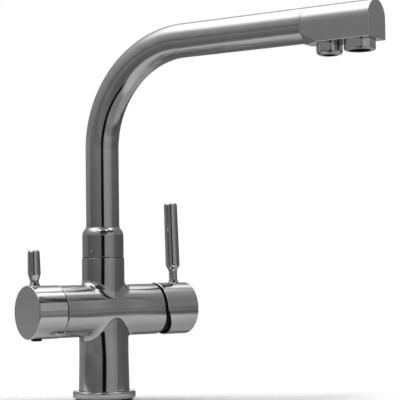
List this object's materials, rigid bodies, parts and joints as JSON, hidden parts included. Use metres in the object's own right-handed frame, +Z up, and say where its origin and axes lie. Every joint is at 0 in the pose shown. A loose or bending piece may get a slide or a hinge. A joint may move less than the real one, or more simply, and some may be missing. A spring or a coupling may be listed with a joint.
{
  "type": "kitchen mixer tap",
  "caption": "Three-way kitchen tap: round column with a cross barrel, long mixer lever, short filtered-water lever, bent swivel spout and paired outlets.",
  "frame": {"origin": "on the deck surface, under the middle of the column, on the axis of the fixing stud's hole", "axes": "+Z up along the column; +X along the cross barrel towards the mixer lever; the user stands at -Y"},
  "size_m": [0.1777, 0.2732, 0.308],
  "materials": {
    "chrome": "polished chrome plate on brass",
    "bare_brass": "turned, unplated",
    "steel": "stainless, machined",
    "seal_rubber": "matt black",
    "black_plastic": "moulded, matt black",
    "pale_plastic": "moulded, off-white",
    "disc_ceramic": "lapped ceramic"
  },
  "bodies": {
    "tap": {"base_gasket": "seal_rubber", "base_flange": "chrome", "tap_body": "chrome", "swivel_ring": "black_plastic", "spout_grub_screw": "steel", "port_seal": "seal_rubber", "cartridge_base": "pale_plastic", "cartridge_housing": "pale_plastic", "fixed_disc": "disc_ceramic", "retaining_nut": "bare_brass", "dome_cover": "black_plastic", "filter_seat_washer": "seal_rubber", "filter_fixed_disc": "disc_ceramic", "filter_valve_body": "bare_brass"},
    "spout": {"swivel_seals": "seal_rubber", "spout_collar": "chrome", "spout_tube": "chrome", "filter_tube": "pale_plastic", "filter_tube_seal": "seal_rubber", "outlet_head": "chrome", "aerator_housing": "chrome", "aerator_insert": "black_plastic", "aerator_washer": "seal_rubber", "filter_nozzle": "chrome", "nozzle_insert": "black_plastic", "nozzle_washer": "seal_rubber"},
    "turret": {"cartridge_turret": "pale_plastic", "stem_pin": "steel"},
    "mixer": {"mixer_stem": "bare_brass", "mixer_handle": "chrome", "mixer_lever": "chrome"},
    "disc_slider": {"moving_disc": "disc_ceramic", "disc_carrier": "pale_plastic"},
    "filter_knob": {"filter_moving_disc": "disc_ceramic", "filter_spindle": "bare_brass", "spindle_seal": "seal_rubber", "spindle_clip": "steel", "filter_handle": "chrome", "filter_lever": "chrome", "filter_grub_screw": "steel", "filter_screw_plug": "black_plastic"}
  },
  "joints": [
    {"name": "spout_swivel", "type": "hinge", "parent": "tap", "child": "spout", "pos_m": [0, 0, 0.1183], "axis": [0, 0, 1], "continuous": true},
    {"name": "mixer_turn", "type": "hinge", "parent": "tap", "child": "turret", "pos_m": [0.053, 0, 0.0745], "axis": [1, 0, 0], "range_deg": [-45, 45]},
    {"name": "mixer_lift", "type": "hinge", "parent": "turret", "child": "mixer", "pos_m": [0.053, 0, 0.0745], "axis": [0, 1, 0], "range_deg": [0, 17]},
    {"name": "disc_slide", "type": "slide", "parent": "turret", "child": "disc_slider", "axis": [0, 0, 1], "range_m": [0, 0.006]},
    {"name": "filter_turn", "type": "hinge", "parent": "tap", "child": "filter_knob", "pos_m": [-0.0595, 0, 0.0745], "axis": [1, 0, 0], "range_deg": [0, 90]}
  ],
  "couplings": [
    {"joint": "disc_slide", "follows": "mixer_lift", "m_per_rad": 0.02}
  ]
}
